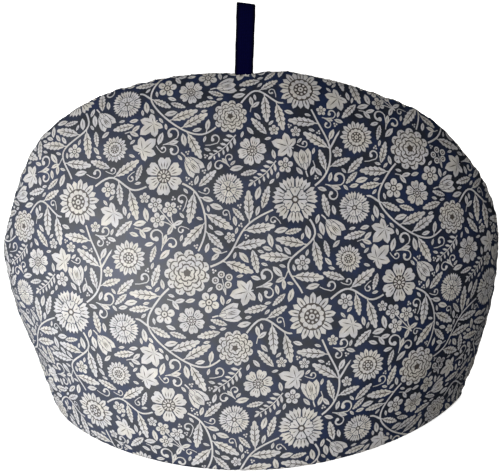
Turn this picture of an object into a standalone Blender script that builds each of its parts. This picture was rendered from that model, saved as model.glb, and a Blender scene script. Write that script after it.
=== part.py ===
"""A padded tea cosy. Two domed cloth panels are sewn together along their curved edge and stand open on
their hem, and a tape loop is caught in the top of the seam.

Metres, +Z up. The front panel faces -Y, and the origin is on the table in the middle of the open hem.
"""

import math
from collections import namedtuple

import bmesh
import bpy
from mathutils import Vector

MM = 0.001

# Panels
HEM_DEPTH = {"front": 91.0 * MM, "back": 90.0 * MM}  # from the seam to the hem's furthest point
WALL = 7.0 * MM  # cover, wadding and inner cloth together
SEAM_WIDTH = 10.0 * MM  # the band along the curved edge where the two panels lie face to face
SEAM_GAP = 0.3 * MM
EDGE_ROUND = 2.0 * MM  # the soft corner along the hem and the seam
EDGE_STEPS = 2
ROUND_ABOVE = math.radians(65)  # edges sharper than this are rounded

# Tape loop
TAPE_WIDTH = 12.0 * MM
TAPE_THICK = 1.2 * MM
TAPE_CENTRE_X = -1.0 * MM
TAPE_RISE = 44.5 * MM  # from the seam's ridge to the fold
TAPE_SEWN_IN = 7.5 * MM  # length of each end that is caught between the panels
TAPE_LEGS_APART = 0.4 * MM  # between the two ends where they are sewn in
TAPE_BELLY = 8.0 * MM  # how far each leg swings out before it closes at the fold
TAPE_LEAN = math.radians(3.4)
TAPE_FOLD_SLANT = 0.15  # drop of the fold for each millimetre to the right
SLOT_CLEARANCE = 0.3 * MM

# Mesh steps
PANEL_ACROSS = 36
PANEL_UP = 18
TAPE_ACROSS = 2
TAPE_STEPS = 36
SEWN_STEPS = 2

# The curved seam, as its distance from the middle of the hem at each angle above the table. It is widest
# some 110 mm up, draws in towards the hem, and is a little fuller on the left shoulder.
SeamRow = namedtuple("SeamRow", "degrees left_mm right_mm")
SEAM = (
    SeamRow(0, 147.5, 155.5),
    SeamRow(10, 157.0, 166.5),
    SeamRow(20, 173.5, 181.0),
    SeamRow(30, 197.5, 202.0),
    SeamRow(40, 220.5, 223.5),
    SeamRow(50, 239.0, 235.5),
    SeamRow(60, 249.0, 244.0),
    SeamRow(70, 250.5, 244.0),
    SeamRow(80, 247.0, 244.5),
    SeamRow(90, 244.0, 244.0),
)
SEAM_STEP = math.radians(SEAM[1].degrees - SEAM[0].degrees)

# Small bumps and hollows in the line of the seam
Wave = namedtuple("Wave", "degrees width_degrees height_mm")
WAVES = (
    Wave(3.5, 3.0, -1.2),
    Wave(21.0, 5.0, 0.9),
    Wave(47.0, 4.0, 0.8),
    Wave(84.0, 3.5, 1.5),
    Wave(107.0, 4.0, -0.9),
    Wave(125.0, 4.0, 1.2),
    Wave(136.0, 4.0, -1.4),
    Wave(144.0, 3.0, 1.8),
    Wave(163.0, 4.0, -1.2),
)

# How a panel swells between the middle and the seam: a low fill gives a full, rounded edge
Swell = namedtuple("Swell", "power fill")
SWELL_RIGHT = Swell(1.95, 0.85)
SWELL_TOP = Swell(2.1, 0.80)
SWELL_LEFT = Swell(2.0, 0.75)

# Soft troughs and swellings of the wadding: place, reach and height outwards. They fade out at the seam.
DENT_FADE = 6
Dent = namedtuple("Dent", "x_mm z_mm reach_mm height_mm")
DENTS = {
    "front": (
        Dent(-98, 66, 34, -2.2),
        Dent(-38, 130, 56, 1.6),
        Dent(62, 172, 42, -1.8),
        Dent(104, 84, 36, 1.8),
        Dent(134, 44, 20, -2.2),
        Dent(16, 60, 34, -1.2),
    ),
    "back": (
        Dent(84, 72, 38, -2.4),
        Dent(-72, 140, 50, -1.6),
        Dent(20, 92, 56, 1.8),
        Dent(-118, 60, 30, 1.6),
    ),
}

PRINTED_COTTON = ("printed cotton", (0.175, 0.185, 0.205, 1.0), 0.88)
NAVY_TAPE = ("navy cotton tape", (0.004, 0.005, 0.016, 1.0), 0.80)


def clear_scene():
    for obj in list(bpy.data.objects):
        bpy.data.objects.remove(obj, do_unlink=True)


def new_collection(name):
    collection = bpy.data.collections.new(name)
    bpy.context.scene.collection.children.link(collection)
    return collection


def make_material(name, colour, roughness):
    material = bpy.data.materials.new(name)
    material.use_nodes = True
    shader = material.node_tree.nodes["Principled BSDF"]
    shader.inputs["Base Color"].default_value = colour
    shader.inputs["Roughness"].default_value = roughness
    shader.inputs["Metallic"].default_value = 0.0
    return material


def seam_reaches():
    """The table's distances in order, from the right end of the hem over the top to the left end."""
    right = [row.right_mm * MM for row in SEAM]
    left = [row.left_mm * MM for row in reversed(SEAM[:-1])]
    return right + left


REACHES = seam_reaches()


def seam_reach(angle):
    """Distance from the middle of the hem to the seam, on one smooth curve through the table's rows."""
    place = min(max(angle / SEAM_STEP, 0.0), len(REACHES) - 1)
    row = min(int(place), len(REACHES) - 2)
    part = place - row
    start, end = REACHES[row], REACHES[row + 1]
    before = REACHES[row - 1] if row > 0 else 2 * start - end
    after = REACHES[row + 2] if row + 2 < len(REACHES) else 2 * end - start
    slope_in, slope_out = (end - before) / 2, (after - start) / 2
    smooth = part * part * (3 - 2 * part)
    reach = start + (end - start) * smooth
    reach += slope_in * part * (1 - part) ** 2 - slope_out * part * part * (1 - part)
    for wave in WAVES:
        away = (math.degrees(angle) - wave.degrees) / wave.width_degrees
        reach += wave.height_mm * MM * math.exp(-away * away)
    return reach


def swell_at(angle):
    """The swell between the right end, the top and the left end of the seam."""
    right = max(math.cos(angle), 0.0) ** 2
    left = max(-math.cos(angle), 0.0) ** 2
    top = 1.0 - right - left
    shares = ((right, SWELL_RIGHT), (top, SWELL_TOP), (left, SWELL_LEFT))
    power = sum(share * swell.power for share, swell in shares)
    fill = sum(share * swell.fill for share, swell in shares)
    return power, fill


def dent_height(panel, x, z):
    height = 0.0
    for dent in DENTS[panel]:
        away = math.hypot(x - dent.x_mm * MM, z - dent.z_mm * MM) / (dent.reach_mm * MM)
        height += dent.height_mm * MM * math.exp(-away * away)
    return height


def panel_point(panel, across, up, inset, depth):
    """A point of a panel. across runs from -1 to 1 along the hem, and up from 0 at the hem to 1.

    The half square of across and up becomes half a disc, whose round edge is then drawn out to the seam.
    """
    flat_x = across * math.sqrt(1 - up * up / 2)
    flat_z = up * math.sqrt(1 - across * across / 2)
    share = min(math.hypot(flat_x, flat_z), 1.0)
    angle = math.atan2(flat_z, flat_x)
    reach = share * (seam_reach(angle) - inset)
    x, z = reach * math.cos(angle), reach * math.sin(angle)
    power, fill = swell_at(angle)
    swollen = (1 - share**power) ** fill
    out = depth * swollen + dent_height(panel, x, z) * (1 - share**DENT_FADE)
    towards = -1 if panel == "front" else 1
    return Vector((x, towards * (out + SEAM_GAP / 2), z))


def add_surface(bm, panel, inset, depth):
    """One face of the wall, as a grid laid over the panel."""
    grid = bmesh.ops.create_grid(bm, x_segments=PANEL_ACROSS, y_segments=PANEL_UP, size=1.0)
    for vert in grid["verts"]:
        vert.co = panel_point(panel, vert.co.x, (vert.co.y + 1) / 2, inset, depth)


def make_panel(panel, collection, parent, material):
    """A wall between its outer and inner faces, closed by a flat hem and a flat seam face."""
    bm = bmesh.new()
    add_surface(bm, panel, 0.0, HEM_DEPTH[panel])
    add_surface(bm, panel, SEAM_WIDTH, HEM_DEPTH[panel] - WALL)
    rims = [edge for edge in bm.edges if edge.is_boundary]
    bmesh.ops.bridge_loops(bm, edges=rims)
    bmesh.ops.recalc_face_normals(bm, faces=bm.faces)
    mesh = bpy.data.meshes.new(f"{panel}_panel")
    bm.to_mesh(mesh)
    bm.free()
    mesh.shade_smooth()
    mesh.materials.append(material)
    obj = bpy.data.objects.new(f"{panel}_panel", mesh)
    collection.objects.link(obj)
    obj.parent = parent
    rounding = obj.modifiers.new("Soft edges", "BEVEL")
    rounding.width = EDGE_ROUND
    rounding.segments = EDGE_STEPS
    rounding.limit_method = "ANGLE"
    rounding.angle_limit = ROUND_ABOVE
    return obj


def tape_line():
    """The tape's middle line from end to end over the fold, as distances front to back and up."""
    inner_half = (TAPE_LEGS_APART + TAPE_THICK) / 2
    foot = -TAPE_SEWN_IN
    front_end = [(-inner_half, foot * (1 - i / SEWN_STEPS)) for i in range(SEWN_STEPS)]
    loop = []
    for i in range(TAPE_STEPS + 1):
        turn = 2 * math.pi * i / TAPE_STEPS
        out = inner_half * math.cos(turn / 2)
        out += TAPE_BELLY * math.sin(turn) * math.sin(turn / 2) ** 2
        loop.append((-out, TAPE_RISE * (1 - math.cos(turn)) / 2))
    back_end = [(-y, z) for y, z in reversed(front_end)]
    return front_end + loop + back_end


def tape_point(side, y, rise, ridge):
    """Places a point of the tape. side is -1 at its left edge and 1 at its right edge."""
    above = max(rise, 0.0)
    aside = side * TAPE_WIDTH / 2
    x = TAPE_CENTRE_X + aside + above * math.tan(TAPE_LEAN)
    z = ridge + rise - TAPE_FOLD_SLANT * aside * (above / TAPE_RISE) ** 2
    return Vector((x, y, z))


def make_loop(collection, parent, material):
    """A flat tape folded into a loop, both ends in the seam."""
    ridge = seam_reach(math.pi / 2)
    line = tape_line()
    bm = bmesh.new()
    grid = bmesh.ops.create_grid(bm, x_segments=TAPE_ACROSS, y_segments=len(line) - 1, size=1.0)
    for vert in grid["verts"]:
        y, rise = line[round((vert.co.y + 1) / 2 * (len(line) - 1))]
        vert.co = tape_point(vert.co.x, y, rise, ridge)
    mesh = bpy.data.meshes.new("hanging_loop")
    bm.to_mesh(mesh)
    bm.free()
    mesh.shade_smooth()
    mesh.materials.append(material)
    obj = bpy.data.objects.new("hanging_loop", mesh)
    collection.objects.link(obj)
    obj.parent = parent
    cloth = obj.modifiers.new("Tape thickness", "SOLIDIFY")
    cloth.thickness = TAPE_THICK
    cloth.offset = 0.0
    cloth.use_even_offset = True
    return obj


def make_slot_cutter(collection):
    """The pocket in the seam that holds the tape's two ends."""
    ridge = seam_reach(math.pi / 2)
    foot = TAPE_SEWN_IN + SLOT_CLEARANCE
    height = 2 * foot
    width = TAPE_WIDTH + 2 * SLOT_CLEARANCE
    depth = 2 * TAPE_THICK + TAPE_LEGS_APART + 2 * SLOT_CLEARANCE
    bpy.ops.mesh.primitive_cube_add(size=1.0, location=(TAPE_CENTRE_X, 0.0, ridge - foot + height / 2))
    cutter = bpy.context.object
    cutter.name = "tape_slot"
    cutter.scale = (width, depth, height)
    bpy.ops.object.transform_apply(location=False, rotation=False, scale=True)
    cutter.hide_render = True
    cutter.display_type = "WIRE"
    for home in list(cutter.users_collection):
        home.objects.unlink(cutter)
    collection.objects.link(cutter)
    return cutter


def cut(obj, cutter):
    boolean = obj.modifiers.new("Pocket for the tape", "BOOLEAN")
    boolean.operation = "DIFFERENCE"
    boolean.object = cutter


def main():
    clear_scene()
    cosy = new_collection("Tea cosy")
    cutters = new_collection("Cutters")
    root = bpy.data.objects.new("tea_cosy", None)
    cosy.objects.link(root)
    cotton = make_material(*PRINTED_COTTON)
    slot = make_slot_cutter(cutters)
    for panel in ("front", "back"):
        cut(make_panel(panel, cosy, root, cotton), slot)
    make_loop(cosy, root, make_material(*NAVY_TAPE))


main()
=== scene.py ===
"""Dresses the tea cosy: two wadded panels of floral printed cotton, sewn along their curved edge and
standing open on the hem, with a loop of navy tape in the top of the seam.

Shapes are worked out in millimetres and become metres when a mesh is made. The print is drawn on the
flat cloth as outlines in three inks and carried onto the swollen panels with the cloth, so its edges are
mesh edges and not a picture.
"""

import math
import random
from collections import namedtuple

import bpy
import numpy as np
from bpy.props import FloatProperty, FloatVectorProperty, PointerProperty
from mathutils import Matrix, Vector
from mathutils.bvhtree import BVHTree
from mathutils.geometry import delaunay_2d_cdt


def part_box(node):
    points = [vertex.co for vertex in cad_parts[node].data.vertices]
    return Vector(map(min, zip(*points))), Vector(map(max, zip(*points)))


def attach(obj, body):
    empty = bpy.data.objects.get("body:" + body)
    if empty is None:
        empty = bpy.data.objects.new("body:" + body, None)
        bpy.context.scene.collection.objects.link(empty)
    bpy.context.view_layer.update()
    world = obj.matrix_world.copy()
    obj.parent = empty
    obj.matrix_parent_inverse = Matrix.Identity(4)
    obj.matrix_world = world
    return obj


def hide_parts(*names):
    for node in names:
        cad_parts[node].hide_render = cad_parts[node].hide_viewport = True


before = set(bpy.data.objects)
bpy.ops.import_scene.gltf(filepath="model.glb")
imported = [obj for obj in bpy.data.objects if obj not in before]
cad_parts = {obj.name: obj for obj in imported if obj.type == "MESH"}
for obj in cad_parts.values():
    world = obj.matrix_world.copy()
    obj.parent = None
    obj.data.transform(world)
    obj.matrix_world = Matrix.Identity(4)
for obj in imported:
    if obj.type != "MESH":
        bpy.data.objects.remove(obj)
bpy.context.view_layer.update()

bl_info = {
    "name": "Tea Cosy",
    "version": (1, 0, 0),
    "blender": (4, 5, 0),
    "location": "3D View > Sidebar > Tea Cosy",
    "description": "Builds a padded tea cosy of floral printed cotton with a tape loop",
    "category": "Add Mesh",
}

HEM_FRONT = -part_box("front_panel")[0][1]  # from the seam's plane to the front of the hem, in metres
HEM_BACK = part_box("back_panel")[1][1]
MM = 0.001


def linear_colour(sheet_hex):
    """An sRGB hex colour as linear red, green and blue."""
    channels = [int(sheet_hex[i : i + 2], 16) / 255 for i in (1, 3, 5)]
    return tuple(c / 12.92 if c <= 0.04045 else ((c + 0.055) / 1.055) ** 2.4 for c in channels)


# The curved seam, in millimetres from the middle of the hem at each angle above the table
SeamRow = namedtuple("SeamRow", "degrees left_mm right_mm")
SEAM = (
    SeamRow(0, 147.5, 155.5),
    SeamRow(10, 157.0, 166.5),
    SeamRow(20, 173.5, 181.0),
    SeamRow(30, 197.5, 202.0),
    SeamRow(40, 220.5, 223.5),
    SeamRow(50, 239.0, 235.5),
    SeamRow(60, 249.0, 244.0),
    SeamRow(70, 250.5, 244.0),
    SeamRow(80, 247.0, 244.5),
    SeamRow(90, 244.0, 244.0),
)
SEAM_STEP = SEAM[1].degrees - SEAM[0].degrees
REACHES = [row.right_mm for row in SEAM] + [row.left_mm for row in reversed(SEAM[:-1])]
REACHES_AND_ENDS = np.array([2 * REACHES[0] - REACHES[1], *REACHES, 2 * REACHES[-1] - REACHES[-2]])
SEAM_RIDGE = SEAM[-1].right_mm

Wave = namedtuple("Wave", "degrees width_degrees height_mm")
WAVES = (
    Wave(3.5, 3.0, -1.2),
    Wave(21.0, 5.0, 0.9),
    Wave(47.0, 4.0, 0.8),
    Wave(84.0, 3.5, 1.5),
    Wave(107.0, 4.0, -0.9),
    Wave(125.0, 4.0, 1.2),
    Wave(131.0, 6.0, -1.6),
    Wave(136.0, 4.0, -1.4),
    Wave(144.0, 3.0, 1.8),
    Wave(163.0, 4.0, -1.2),
)

# Small even puckers that the stitches draw into the seam, about 12 mm apart
RIPPLE_MM = 0.45
RIPPLE_TURN = 2.0  # radians of ripple for each degree round the seam

Swell = namedtuple("Swell", "power fill")
SWELL_RIGHT = Swell(1.95, 0.85)
SWELL_TOP = Swell(2.1, 0.80)
SWELL_LEFT = Swell(2.0, 0.75)

# Soft troughs and swellings of the wadding, in the frame's own x and z
Dent = namedtuple("Dent", "x_mm z_mm reach_mm height_mm")
DENTS = {
    "front": (
        Dent(-98, 66, 34, -2.2),
        Dent(-38, 130, 56, 1.6),
        Dent(62, 172, 42, -1.8),
        Dent(104, 84, 36, 1.8),
        Dent(134, 44, 20, -2.2),
        Dent(16, 60, 34, -1.2),
    ),
    "back": (
        Dent(84, 72, 38, -2.4),
        Dent(-72, 140, 50, -1.6),
        Dent(20, 92, 56, 1.8),
        Dent(-118, 60, 30, 1.6),
    ),
}
DENT_FADE = 6

PanelPlan = namedtuple("PanelPlan", "name side print_shift")
PANELS = (
    PanelPlan("front", 1, (0.0, 0.0)),
    PanelPlan("back", -1, (63.0, 31.0)),
)

# The sewn panels all but touch, so that no light comes through the seam
SEAM_GAP_MM = 0.005
SEAM_WIDTH_MM = 10.0
TAPE_CENTRE_MM = -1.0
TAPE_LEGS_APART_MM = 0.4  # between the two ends where they are sewn in
TAPE_SEWN_IN_MM = 7.5
TAPE_POCKET_MM = 1.7  # how far each panel stands off the seam's plane to let the tape in
TAPE_POCKET_REACH_MM = 8.5
TAPE_BELLY_MM = 8.0  # how far each leg swings out before it closes at the fold
TAPE_FOLD_SLANT = 0.15  # drop of the fold for each millimetre to the right
TAPE_CUP_MM = 0.25  # how far the tape's edges curl out near the fold
INNER_ROLL = 0.8  # the inner cloth's roll as a share of the outer one's
GRID_ACROSS = 112
GRID_UP = 60
ROLL_STEPS = 3
ARC_STEPS = 90  # points at which a length of cloth is measured
SLOPE_SHARE = 0.004  # the slope at the seam is taken over this share of the way in
SLOPE_RISE_MM = 0.8  # the slope at the hem is taken over this height
NEARLY = 0.999  # just short of the seam, where the face still has a slope

# The wadding's lumps and the seam's puckers
BACK_SHIFT_MM = 37.0  # sets the back panel's lumps apart from the front's
FINE_LUMPS = 0.6  # height of the finer lumps as a share of the broad ones
LUMP_FADE_MM = 14.0  # how far from the seam the lumps begin to fade
STITCH_DRAW = 0.5  # how deep the stitches draw the edge in, as a share of a pucker
STITCH_DRAW_REACH_MM = 5.0

# The print
INKS = ("ground", "cream", "line")
PRINT_SEED = 11
REPEAT_ACROSS = 152.0
REPEAT_UP = 148.0  # each column of the repeat stands half of this higher than the one to its left
CELL = 0.5  # cell of the grid that keeps motifs apart, in millimetres
MOTIF_GAP = 0.75
HALO = 0.8  # bare ground round a large flower
STEM_REACH = 45.0  # how far a stem runs on beyond its own repeat
TRIANGLES_INSIDE = 1  # has the cutter return triangles, and only those inside an outline
MERGE_MM = 1e-3  # outlines that pass closer than this meet


def seam_reach(angle):
    """Distance from the middle of the hem to the seam, in mm, on a smooth rippled curve through the rows."""
    degrees = np.degrees(angle)
    place = np.clip(degrees / SEAM_STEP, 0.0, len(REACHES) - 1.0)
    row = np.minimum(place.astype(int), len(REACHES) - 2)
    part = place - row
    before, start, end, after = (REACHES_AND_ENDS[row + i] for i in range(4))
    slope_in, slope_out = (end - before) / 2, (after - start) / 2
    reach = start + (end - start) * part * part * (3 - 2 * part)
    reach = reach + slope_in * part * (1 - part) ** 2 - slope_out * part * part * (1 - part)
    for wave in WAVES:
        reach = reach + wave.height_mm * np.exp(-(((degrees - wave.degrees) / wave.width_degrees) ** 2))
    # The puckers' spacing and their height both drift slowly along the seam
    drift = 2.0 * np.sin(0.13 * degrees)
    ripple = np.sin(RIPPLE_TURN * degrees + drift) * (0.65 + 0.35 * np.sin(0.31 * degrees))
    return reach + RIPPLE_MM * ripple


def swell_at(angle):
    """The swell's power and fill between the right end, the top and the left end of the seam."""
    right = np.maximum(np.cos(angle), 0.0) ** 2
    left = np.maximum(-np.cos(angle), 0.0) ** 2
    top = 1.0 - right - left
    power = right * SWELL_RIGHT.power + top * SWELL_TOP.power + left * SWELL_LEFT.power
    fill = right * SWELL_RIGHT.fill + top * SWELL_TOP.fill + left * SWELL_LEFT.fill
    return power, fill


class Face:
    """The outer or inner face of a panel's wall, as its depth in front of the seam's plane.

    x is measured to the right of someone who looks at the panel, so it runs against the frame's own x on
    the back panel.
    """

    def __init__(self, plan, inset, depth):
        self.plan = plan
        self.inset = inset
        self.depth = depth

    def angle(self, x, z):
        """The angle above the table at which the seam's table holds a place."""
        return np.arctan2(z, x * self.plan.side)

    def share(self, x, z):
        """How far out towards the seam a place is, from 0 to 1."""
        return np.hypot(x, z) / (seam_reach(self.angle(x, z)) - self.inset)

    def out(self, x, z):
        """How far the face stands out in front of the seam's plane."""
        angle = self.angle(x, z)
        share = np.minimum(self.share(x, z), 1.0)
        power, fill = swell_at(angle)
        out = self.depth * (1 - share**power) ** fill
        for dent in DENTS[self.plan.name]:
            away = np.hypot(x * self.plan.side - dent.x_mm, z - dent.z_mm) / dent.reach_mm
            out = out + dent.height_mm * np.exp(-away * away) * (1 - share**DENT_FADE)
        return out

    def points(self, x, z):
        """The points of the face at some places."""
        return np.stack([x, -self.out(x, z) - SEAM_GAP_MM, z], axis=-1)

    def rim_share(self, angle, rim):
        """How far out the face reaches before it rolls over into the seam."""
        power, fill = swell_at(angle)
        return (1 - (rim / self.depth) ** (1 / fill)) ** (1 / power)

    def grid(self, rim):
        """The face as rows of points from the hem up, short of both edges by the size of their roll."""
        sigma = np.linspace(-1, 1, GRID_ACROSS + 1)
        tau = np.linspace(0, 1, GRID_UP + 1)
        across = np.sign(sigma) * (0.5 * np.abs(sigma) + 0.5 * np.sin(np.pi * np.abs(sigma) / 2))
        up = 0.5 * tau + 0.5 * np.sin(np.pi * tau / 2)
        across, up = np.meshgrid(across, up)
        flat_x = across * np.sqrt(1 - up * up / 2)
        flat_z = up * np.sqrt(1 - across * across / 2)
        share = np.minimum(np.hypot(flat_x, flat_z), 1.0)
        turn = np.arctan2(flat_z, flat_x)
        world_turn = turn if self.plan.side > 0 else np.pi - turn
        reach = share * self.rim_share(world_turn, rim) * (seam_reach(world_turn) - self.inset)
        x = reach * np.cos(turn)
        z = reach * np.sin(turn) + rim * (1 - up)
        limit = self.rim_share(self.angle(x, z), rim)
        now = self.share(x, z)
        on_rim = np.zeros(now.shape, bool)
        on_rim[:, 0] = on_rim[:, -1] = on_rim[-1, :] = True
        shrink = np.where(on_rim | (now > limit), limit / now, 1.0)
        x = x * shrink
        return self.points(x, np.maximum(z * shrink, rim))

    def radial_length(self, x, z):
        """Length of cloth from the middle of the hem to each place, over the swell."""
        steps = 1 - (1 - np.linspace(0, 1, ARC_STEPS)) ** 2
        xs = x[..., None] * steps
        zs = z[..., None] * steps
        outs = self.out(xs, zs)
        parts = np.sqrt(np.diff(xs) ** 2 + np.diff(zs) ** 2 + np.diff(outs) ** 2)
        return parts.sum(axis=-1)

    def cloth_place(self, points):
        """Where each point lies on the flat cloth."""
        x, z = points[..., 0], points[..., 2]
        radius = np.maximum(np.hypot(x, z), 1e-6)
        stretch = self.radial_length(x, z) / radius
        return np.stack([x * stretch, z * stretch], axis=-1)


def grid_normals(points):
    """Unit normals of a grid of points, towards the viewer of a panel."""
    along = np.gradient(points, axis=1)
    rising = np.gradient(points, axis=0)
    normals = np.cross(along, rising)
    return normals / np.maximum(np.linalg.norm(normals, axis=-1, keepdims=True), 1e-9)


def rim_order(rows, columns):
    """Rim places of a grid as one loop: along the hem to the right, over the seam, and back to the hem."""
    hem = [(0, j) for j in range(columns)]
    right = [(i, columns - 1) for i in range(1, rows)]
    top = [(rows - 1, j) for j in range(columns - 2, -1, -1)]
    left = [(i, 0) for i in range(rows - 2, 0, -1)]
    return hem + right + top + left


def swaying(run, length, bend=0.0, bend_run=0.0, bend_length=1.0, shift=0.0):
    """A wave along the cloth whose crests sway. Each length is the mm of cloth that turns it by a radian."""
    return np.sin(run / length + bend * np.sin(bend_run / bend_length) + shift)


def relief(plan, cloth, edge, around, sizes):
    """Small unevenness of the wadded cloth, in millimetres: puckers along the seam and soft lumps."""
    u, v = cloth[..., 0] + BACK_SHIFT_MM * (plan.side < 0), cloth[..., 1]
    lumps = swaying(u, 13.0, 1.9, v, 31.0) * swaying(v, 11.0, 1.3, u, 27.0, shift=0.7)
    lumps = lumps + FINE_LUMPS * swaying(u + v, 7.3, 2.0, u, 19.0) * swaying(u - 1.4 * v, 8.9)
    pull = swaying(around, 2.6, 1.7, around, 11.0, shift=0.9 * np.sin(around / 29.0))
    pull = pull * (0.65 + 0.35 * swaying(around, 17.0, shift=1.0))
    puckers = pull * np.exp(-edge * MM / sizes.pucker_reach)
    puckers = puckers - STITCH_DRAW * np.exp(-edge / STITCH_DRAW_REACH_MM)
    return (sizes.lump * lumps * np.minimum(edge / LUMP_FADE_MM, 1.0) + sizes.pucker * puckers) / MM


def roll_rings(grid, face, rim, inner):
    """Rings that carry a face over its rounded edge, down to the table at the hem and to the seam's plane."""
    order = rim_order(*grid.shape[:2])
    start = np.array([grid[i, j] for i, j in order])
    x, z = start[:, 0], start[:, 2]
    seamwards = start - face.points(x * (1 - SLOPE_SHARE), z * (1 - SLOPE_SHARE))
    hemwards = start - face.points(x, z + SLOPE_RISE_MM)
    rings = [[] for _ in range(ROLL_STEPS)]
    for place, (i, j) in enumerate(order):
        point, seamward, hemward = start[place], seamwards[place], hemwards[place]
        gap = seam_opening(point, face.plan)
        if i > 0:
            meet = point + seamward * max(-gap - point[1], 0.0) / max(seamward[1], 1e-6)
            meet[1] = -gap
            inwards = -np.array([point[0], 0.0, point[2]]) / math.hypot(point[0], point[2])
        elif j in (0, grid.shape[1] - 1):
            way = seamward / np.linalg.norm(seamward) + hemward / np.linalg.norm(hemward)
            meet = point + way * (point[2] / -way[2])
            meet[1:] = -gap, 0.0
            inwards = np.array([-math.copysign(1.0, point[0]), 0.0, 0.0])
        else:
            meet = point + hemward * (point[2] / -hemward[2])
            meet[2] = 0.0
            inwards = -grid_side(grid, j)
        end = meet + (-inwards if inner else inwards) * rim
        end[1] = min(end[1], -gap)
        end[2] = max(end[2], 0.0)
        for step in range(ROLL_STEPS):
            t = (step + 1) / ROLL_STEPS
            rings[step].append((1 - t) ** 2 * point + 2 * t * (1 - t) * meet + t * t * end)
    return [np.array(ring) for ring in rings]


def grid_side(grid, j):
    """The level direction out of the panel at a place along its hem."""
    columns = grid.shape[1]
    along = grid[0, min(j + 1, columns - 1)] - grid[0, max(j - 1, 0)]
    side = np.array([along[1], -along[0], 0.0])
    return side / np.linalg.norm(side)


def seam_opening(point, plan):
    """How far a panel stands off the seam's plane: a hair, but more where the tape's ends are caught."""
    if point[2] < SEAM_RIDGE / 2:
        return SEAM_GAP_MM
    away = (point[0] * plan.side - TAPE_CENTRE_MM) / TAPE_POCKET_REACH_MM
    return SEAM_GAP_MM + (TAPE_POCKET_MM - SEAM_GAP_MM) * math.exp(-(away**4))


def outward(loop):
    """Unit directions out of a closed loop in the plane, at each of its points."""
    along = np.roll(loop, -1, axis=0) - np.roll(loop, 1, axis=0)
    side = np.stack([along[:, 1], -along[:, 0]], axis=-1)
    return side / np.linalg.norm(side, axis=-1, keepdims=True)


def quads_of_grid(first, rows, columns, flip):
    """Quads of a grid of points that starts at the point numbered first."""
    faces = []
    for i in range(rows - 1):
        for j in range(columns - 1):
            a = first + i * columns + j
            quad = (a, a + 1, a + columns + 1, a + columns)
            faces.append(quad[::-1] if flip else quad)
    return faces


def quads_between(loop_a, loop_b):
    """Quads from loop_a outwards to loop_b, both running the same way round."""
    count = len(loop_a)
    return [(loop_a[k], loop_b[k], loop_b[(k + 1) % count], loop_a[(k + 1) % count]) for k in range(count)]


class PanelBody:
    """A panel's closed wall as points, faces and places on the cloth, before the print is laid on it."""

    def __init__(self, plan, sizes):
        self.plan = plan
        depth = getattr(sizes, f"hem_{plan.name}") / MM - SEAM_GAP_MM
        wall, rim = sizes.wall / MM, sizes.roll / MM
        outer = Face(plan, 0.0, depth)
        inner = Face(plan, SEAM_WIDTH_MM, depth - wall)
        grid = outer.grid(rim)
        cloth = outer.cloth_place(grid)
        rim_places = rim_order(*grid.shape[:2])
        edge = self.edge_distance(outer, grid, cloth)
        around = outer.angle(grid[..., 0], grid[..., 2]) * SEAM_RIDGE
        lifted = grid + grid_normals(grid) * relief(plan, cloth, edge, around, sizes)[..., None]
        lifted[0, :, 2] = grid[0, :, 2]
        rings = roll_rings(grid, outer, rim, inner=False)
        self.points = list(lifted.reshape(-1, 3))
        self.cloth = list(cloth.reshape(-1, 2))
        rows, columns = grid.shape[:2]
        self.printed = quads_of_grid(0, rows, columns, flip=False)
        loop = [i * columns + j for i, j in rim_places]
        flat_rim = np.array([self.cloth[k] for k in loop])
        away = outward(flat_rim)
        reach, last = np.zeros(len(loop)), np.array([self.points[k] for k in loop])
        for ring in rings:
            reach = reach + np.linalg.norm(ring - last, axis=-1)
            last = ring
            new = self.add(ring, flat_rim + away * reach[:, None])
            self.printed += quads_between(loop, new)
            loop = new
        self.print_rim = loop
        inner_grid = inner.grid(rim)
        inner_rings = roll_rings(inner_grid, inner, rim * INNER_ROLL, inner=True)
        self.plain = []
        for ring in reversed(inner_rings):
            new = self.add(ring, flat_rim + away * reach[:, None])
            self.plain += quads_between(loop, new)
            loop = new
        first = len(self.points)
        self.add(inner_grid.reshape(-1, 3), cloth.reshape(-1, 2))
        inner_loop = [first + i * columns + j for i, j in rim_places]
        self.plain += quads_between(loop, inner_loop)
        self.plain += quads_of_grid(first, rows, columns, flip=True)
        self.points = np.array(self.points)
        self.cloth = np.array(self.cloth)

    def add(self, points, cloth):
        """Adds points with their places on the cloth, and returns their numbers."""
        first = len(self.points)
        self.points.extend(points)
        self.cloth.extend(cloth)
        return list(range(first, first + len(points)))

    def edge_distance(self, face, grid, cloth):
        """Length of cloth from each point to the seam, along the line from the middle of the hem."""
        turn = np.arctan2(grid[..., 2], grid[..., 0])
        table = np.linspace(0, np.pi, 181)  # a place for each degree
        world = table if self.plan.side > 0 else np.pi - table
        reach = seam_reach(world) * NEARLY
        lengths = face.radial_length(reach * np.cos(table), reach * np.sin(table))
        return np.maximum(np.interp(turn, table, lengths) - np.linalg.norm(cloth, axis=-1), 0.0)


def petal(start, end, width, rise=0.6, fall=0.6, steps=5):
    """A petal or leaf outline along x. A low rise or fall gives a blunt base or tip."""
    along = np.linspace(0, 1, steps + 1)
    peak = rise / (rise + fall)
    half = width / 2 * (along / peak) ** rise * ((1 - along) / (1 - peak)) ** fall
    x = start + (end - start) * along
    return list(zip(x, -half)) + list(zip(x[-2:0:-1], half[-2:0:-1]))


def vein(start, end, width, rise=0.5, fall=0.9, steps=2):
    """A fine dark line along x, in a list by itself."""
    return [("line", petal(start, end, width, rise, fall, steps))]


def disc(radius, x=0.0, y=0.0):
    """A round outline, with more points the larger it is."""
    count = 6 + round(1.5 * radius)
    turns = [2 * math.pi * k / count for k in range(count)]
    return [(x + radius * math.cos(turn), y + radius * math.sin(turn)) for turn in turns]


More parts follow.
